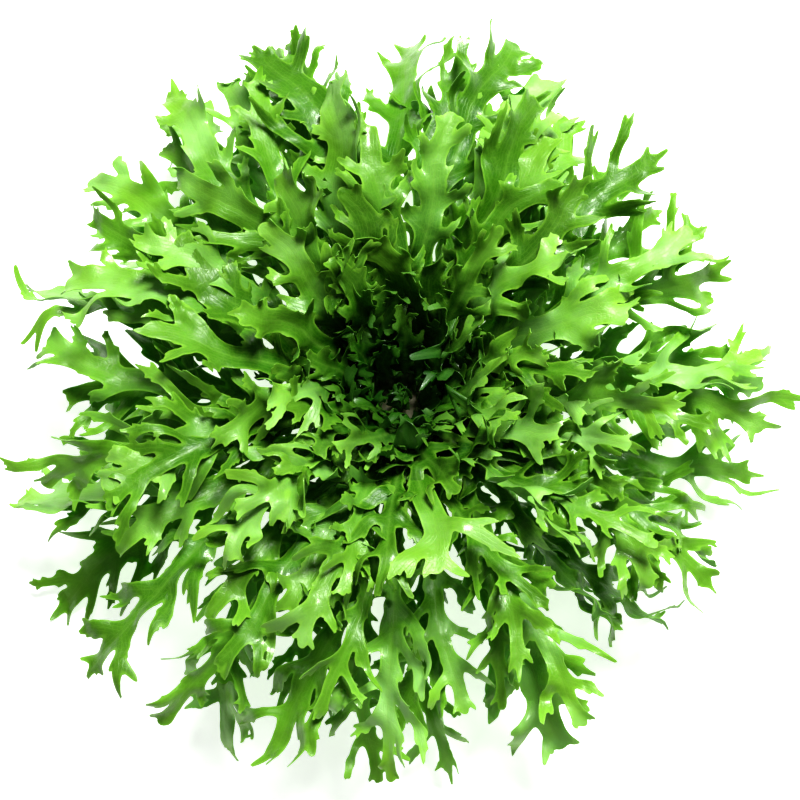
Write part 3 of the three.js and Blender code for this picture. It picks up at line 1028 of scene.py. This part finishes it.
def crown_material(colours):
    """Pale fibrous stem, browned where the knife went through it."""
    material = bpy.data.materials.new("crown flesh")
    material.use_nodes = True
    tree = material.node_tree
    shader = tree.nodes["Principled BSDF"]
    spot = add(tree, "ShaderNodeTexCoord").outputs["Object"]
    height = add(tree, "ShaderNodeSeparateXYZ", {"Vector": spot}).outputs["Z"]
    growth = group_node(tree, "Uneven growth", blotch_group, {
        "Grain": spot, "Patch Density": 90.0, "Fleck Density": 500.0})
    stretched = vectors(tree, "MULTIPLY", spot, (1.0, 1.0, 0.18))
    fibres = add(tree, "ShaderNodeTexNoise", {"Vector": stretched, "Scale": 420.0, "Detail": 3.0}).outputs[0]
    colour = mixed(tree, growth.outputs["Patches"], colours.crown, Vector(colours.crown) * 0.82)
    colour = mixed(tree, ramped(tree, fibres, 0.5, 0.7, 0.35), colour, colours.rib)
    colour = mixed(tree, ramped(tree, height, 5 * MM, 0.3 * MM, 0.75), colour, colours.cut)
    tree.links.new(colour, shader.inputs["Base Color"])
    rough = maths(tree, "MULTIPLY_ADD", growth.outputs["Patches"], 0.15, 0.5)
    tree.links.new(rough, shader.inputs["Roughness"])
    shader.inputs["Subsurface Weight"].default_value = 0.15
    shader.inputs["Subsurface Radius"].default_value = (1.0, 0.8, 0.4)
    shader.inputs["Subsurface Scale"].default_value = 2.0 * MM
    bump = add(tree, "ShaderNodeBump", {"Strength": 0.5, "Distance": 0.4 * MM, "Height": fibres})
    tree.links.new(bump.outputs["Normal"], shader.inputs["Normal"])
    return material


# ---------- what a user can change ----------
def length_property(name, description, default, low=0.0):
    return FloatProperty(name=name, description=description, default=default, min=low, subtype="DISTANCE",
                         unit="LENGTH")


def plain_property(name, description, default):
    """A number without a unit; what it counts or measures is in its description."""
    kind = IntProperty if isinstance(default, int) else FloatProperty
    return kind(name=name, description=description, default=default, min=0)


def colour_property(name, description, default):
    return FloatVectorProperty(name=name, description=description, default=default, subtype="COLOR", size=3,
                               min=0.0, max=1.0)


class EndiveSizes(bpy.types.PropertyGroup):
    """Sizes of the leaves."""

    mesh_step: length_property("Mesh step", "Length of the blade's mesh edges", 1.05 * MM, 0.5 * MM)
    blade_thickness: length_property(
        "Blade thickness", "Thickness of the blade between its veins", 0.55 * MM, 0.2 * MM)
    rib_depth: length_property("Rib depth", "How far the midrib stands out below the blade", 1.3 * MM)
    foot_width: length_property("Foot width", "Width of an outer leaf's stalk at the crown", 6.8 * MM, 1 * MM)
    tooth_length: length_property("Tooth length", "Length of the teeth on the edges", 4.0 * MM, 0.5 * MM)
    ruffle_height: length_property("Ruffle height", "How far the margins wave up and down", 1.4 * MM)
    ruffle_length: length_property("Ruffle length", "Length of one wave of the margins", 24 * MM, 4 * MM)
    crinkle_height: length_property("Crinkle height", "Height of the blade's fine unevenness", 0.5 * MM)
    lobe_curl: plain_property("Lobe curl", "Typical bend of a lobe, in degrees", 36.0)
    lobe_twist: plain_property("Lobe twist", "Typical twist of a lobe, in degrees", 36.0)
    young_leaves: plain_property("Young leaves", "Short leaves round the heart", 18)
    arching_leaves: plain_property("Arching leaves", "Leaves that arch over the gaps round the heart", 25)
    outer_between: plain_property("Leaves between", "Leaves that fill the outer part of the head", 44)


class EndiveColours(bpy.types.PropertyGroup):
    """Colours of the leaves and the crown."""

    # The darkest tone of the blade, and also the colour of the painted shade on the lower halves and towards
    # the heart.
    deep_and_shade: colour_property("Deep green", "The darkest green of the blade", (0.006, 0.075, 0.0006))
    blade: colour_property("Blade green", "The usual green of the blade", (0.104, 0.345, 0.009))
    # Painted light: mixed into the outer and middle ranks to lighten them; no blade of the heart uses it.
    young: colour_property("Young green", "Blades that grew in the shade of the heart", (0.125, 0.380, 0.014))
    tip: colour_property("Tip green", "Light tips, margins and veins", (0.335, 0.640, 0.072))
    # Painted sheen: the pale colour laid over the palest blades in place of a highlight.
    bloom: colour_property("Bloom", "The pale waxy bloom on the palest blades", (0.330, 0.580, 0.215))
    under: colour_property("Underside", "The matt, bluish underside", (0.170, 0.400, 0.080))
    rib: colour_property("Rib", "The pale midrib and the foot of each leaf", (0.260, 0.500, 0.080))
    fleck: colour_property("Fleck", "Tiny bruises", (0.060, 0.040, 0.015))
    crown: colour_property("Crown", "The pale stem", (0.640, 0.600, 0.400))
    cut: colour_property("Cut face", "The browned knife cut", (0.360, 0.200, 0.080))
    glow: plain_property("Glow", "How much light scatters inside the blade, from 0 to 1", 0.25)


class EndiveStage(bpy.types.PropertyGroup):
    """Camera, light and floor."""

    elevation: plain_property("Elevation", "Height of the camera above the horizon, in degrees", 76.0)
    distance: length_property("Distance", "From the camera to the middle of the head", 0.78)
    focal_length: plain_property("Focal length", "Of the camera's lens, in millimetres", 80.8)
    aim_shift: FloatVectorProperty(
        name="Aim", description="Where the camera looks, from the middle of the head", size=3,
        default=(4 * MM, -7 * MM, 0.0), subtype="TRANSLATION", unit="LENGTH")
    key_power: plain_property("Key light", "Power of the soft light, in watts", 23.0)
    fill: plain_property("Fill", "Strength of the even light from all round", 0.12)
    floor_glow: plain_property("Floor glow", "Light that the floor gives off, as a lit table does", 0.5)
    floor: colour_property("Floor", "The plain pale floor", (0.90, 0.90, 0.90))


# ---------- operators ----------
class ENDIVE_OT_outer_leaves(bpy.types.Operator):
    """Grow the longest, lowest leaves"""

    bl_idname = "endive.outer_leaves"
    bl_label = "Outer leaves"

    def execute(self, context):
        grow_rank("outer_leaf", context.scene)
        return {"FINISHED"}


class ENDIVE_OT_middle_leaves(bpy.types.Operator):
    """Grow the leaves that arch over the outer ones"""

    bl_idname = "endive.middle_leaves"
    bl_label = "Middle leaves"

    def execute(self, context):
        grow_rank("middle_leaf", context.scene)
        return {"FINISHED"}


class ENDIVE_OT_inner_leaves(bpy.types.Operator):
    """Grow the short upright leaves round the heart"""

    bl_idname = "endive.inner_leaves"
    bl_label = "Inner leaves"

    def execute(self, context):
        grow_rank("inner_leaf", context.scene)
        return {"FINISHED"}


class ENDIVE_OT_between_leaves(bpy.types.Operator):
    """Grow the leaves that fill the gaps, and the young ones round the heart"""

    bl_idname = "endive.between_leaves"
    bl_label = "Leaves between"

    def execute(self, context):
        sizes = context.scene.endive_sizes
        grow_between(sizes.outer_between, 2, 38, "middle_leaf", context.scene, 1.0, 0.85)
        grow_between(sizes.arching_leaves, 30, 48, "arching_leaf", context.scene, 0.95, 1.0)
        grow_between(sizes.young_leaves, 42, 55, "young_leaf", context.scene, 0.74, 1.15)
        return {"FINISHED"}


CROWN_SIDES = 96


def turned_shape(name, profile, sides):
    """A closed shape turned about the head's axis, from a profile that starts and ends on the axis."""
    angles = np.linspace(0, 2 * np.pi, sides, endpoint=False)
    inner = profile[1:-1]
    rings = [np.stack([r * np.cos(angles), r * np.sin(angles), np.full(sides, z)], axis=1) for r, z in inner]
    points = np.concatenate([*rings, [[0, 0, profile[0][1]], [0, 0, profile[-1][1]]]])
    here, after = np.arange(sides), (np.arange(sides) + 1) % sides
    faces = []
    for k in range(len(inner) - 1):
        low, high = k * sides, (k + 1) * sides
        faces.append(np.stack([low + here, low + after, high + after], 1))
        faces.append(np.stack([low + here, high + after, high + here], 1))
    top = (len(inner) - 1) * sides
    faces.append(np.stack([after, here, np.full(sides, len(points) - 2)], 1))
    faces.append(np.stack([top + here, top + after, np.full(sides, len(points) - 1)], 1))
    return mesh_from(name, points, np.concatenate(faces))


class ENDIVE_OT_crown(bpy.types.Operator):
    """Make the cut crown"""

    bl_idname = "endive.crown"
    bl_label = "Crown"

    def execute(self, context):
        low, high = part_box("crown")
        height, rim = high.z - low.z, high.x
        share = np.linspace(0, 1, 14)
        outside = [(rim * (0.68 + 0.30 * s**0.6), low.z + height * (0.02 + 0.44 * s)) for s in share]
        over = [(rim * 0.98 * (1 - s**1.5), low.z + height * (0.46 + 0.52 * s)) for s in share[1:-1]]
        cut = [(0, low.z), (rim * 0.3, low.z), (rim * 0.62, low.z)]
        profile = [*cut, *outside, *over, (0, low.z + height * 0.98)]
        crown = linked("fine_crown", turned_shape("fine_crown", profile, CROWN_SIDES))
        crown.data.materials.append(crown_material(context.scene.endive_colours))
        crown.data.shade_smooth()
        crown.data.set_sharp_from_angle(angle=math.radians(50))
        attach(crown, ROOT)
        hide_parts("crown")
        return {"FINISHED"}


HEART_LEAVES = 9
HEART_SEED = 900


class ENDIVE_OT_heart(bpy.types.Operator):
    """Pack the youngest leaves round the growing tip"""

    bl_idname = "endive.heart"
    bl_label = "Heart"

    def execute(self, context):
        scene = context.scene
        low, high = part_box("heart_bud")
        material = leaf_material("heart", scene.endive_colours)
        habit = habit_of("young_leaf", scene.endive_sizes)._replace(lift=40, wander=2 * MM, roll=10)
        height, radius = high.z - low.z, (high.x - low.x) / 2
        for number in range(HEART_LEAVES):
            azimuth = math.radians(GOLDEN_ANGLE * number)
            share = np.linspace(0, 1, 9)
            out = radius * (0.75 - 0.05 * number) * (0.45 + 0.9 * np.sin(share * 2.2)) * (1 - 0.5 * share**3)
            rise = low.z + height * (0.05 + (0.95 + 0.02 * number) * share)
            line = np.stack([out * math.cos(azimuth), out * math.sin(azimuth), rise], axis=1)
            name = f"heart_leaf_{number + 1:02d}"
            leaf = grow_leaf(name, line, radius * 0.95, habit, material, HEART_SEED + number)
            if number == 0:
                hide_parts("heart_bud")
        return {"FINISHED"}


WHITE = (1.0, 1.0, 1.0, 1.0)
KEY_SIZE = 0.45  # metres across
KEY_PLACE = Vector((0.25, 0.55, 1.25))  # behind, a little to the right
KEY_AIM = Vector((0, 0, 0.05))
FLOOR_SIZE = 6.0
AIM_HEIGHT = 0.45  # share of the head's height at which the camera looks


def turn_to(thing, spot):
    """Turn a lamp or a camera towards a spot."""
    thing.rotation_euler = (spot - thing.location).to_track_quat("-Z", "Y").to_euler()


class ENDIVE_OT_stage(bpy.types.Operator):
    """Set up the floor, the soft light and the camera"""

    bl_idname = "endive.stage"
    bl_label = "Stage"

    def execute(self, context):
        scene, stage = context.scene, context.scene.endive_stage
        low, high = (Vector(corner) for corner in CAD_BOX)
        bpy.ops.mesh.primitive_plane_add(size=FLOOR_SIZE, location=(0, 0, low.z))
        floor = context.object
        floor.name = "floor"
        paint = bpy.data.materials.new("floor")
        paint.use_nodes = True
        shader = paint.node_tree.nodes["Principled BSDF"]
        shader.inputs["Base Color"].default_value = (*stage.floor, 1.0)
        shader.inputs["Roughness"].default_value = 0.9
        shader.inputs["Emission Color"].default_value = WHITE
        shader.inputs["Emission Strength"].default_value = stage.floor_glow
        floor.data.materials.append(paint)

        world = bpy.data.worlds.new("soft light")
        world.use_nodes = True
        world.node_tree.nodes["Background"].inputs["Color"].default_value = WHITE
        world.node_tree.nodes["Background"].inputs["Strength"].default_value = stage.fill
        scene.world = world
        lamp = bpy.data.lights.new("key", "AREA")
        lamp.energy, lamp.size = stage.key_power, KEY_SIZE
        key = linked("key", lamp)
        key.location = KEY_PLACE
        turn_to(key, KEY_AIM)

        camera = linked("camera", bpy.data.cameras.new("camera"))
        camera.data.lens = stage.focal_length
        middle = Vector(((low.x + high.x) / 2, (low.y + high.y) / 2, (low.z + high.z) * AIM_HEIGHT))
        aim = middle + Vector(stage.aim_shift)
        angle = math.radians(stage.elevation)
        camera.location = aim + Vector((0, -math.cos(angle), math.sin(angle))) * stage.distance
        turn_to(camera, aim)
        scene.camera = camera
        scene.view_settings.view_transform = "Standard"
        scene.view_settings.look = "High Contrast"
        return {"FINISHED"}


STEPS = (ENDIVE_OT_outer_leaves, ENDIVE_OT_middle_leaves, ENDIVE_OT_inner_leaves, ENDIVE_OT_between_leaves,
         ENDIVE_OT_heart, ENDIVE_OT_crown, ENDIVE_OT_stage)


class ENDIVE_PT_panel(bpy.types.Panel):
    """The steps and settings of the endive head"""

    bl_idname = "ENDIVE_PT_panel"
    bl_label = "Curly endive"
    bl_space_type = "VIEW_3D"
    bl_region_type = "UI"
    bl_category = "Endive"

    def draw(self, context):
        for step in STEPS:
            self.layout.operator(step.bl_idname)
        for group in (context.scene.endive_sizes, context.scene.endive_colours, context.scene.endive_stage):
            column = self.layout.column()
            for name in group.__annotations__:
                column.prop(group, name)


CLASSES = (EndiveSizes, EndiveColours, EndiveStage, *STEPS, ENDIVE_PT_panel)


def register():
    for each in CLASSES:
        bpy.utils.register_class(each)
    bpy.types.Scene.endive_sizes = PointerProperty(type=EndiveSizes)
    bpy.types.Scene.endive_colours = PointerProperty(type=EndiveColours)
    bpy.types.Scene.endive_stage = PointerProperty(type=EndiveStage)


def unregister():
    del bpy.types.Scene.endive_sizes, bpy.types.Scene.endive_colours, bpy.types.Scene.endive_stage
    for each in reversed(CLASSES):
        bpy.utils.unregister_class(each)


def main():
    register()
    bpy.ops.endive.outer_leaves()
    bpy.ops.endive.middle_leaves()
    bpy.ops.endive.inner_leaves()
    bpy.ops.endive.between_leaves()
    bpy.ops.endive.heart()
    bpy.ops.endive.crown()
    bpy.ops.endive.stage()


if __name__ == "__main__":
    main()
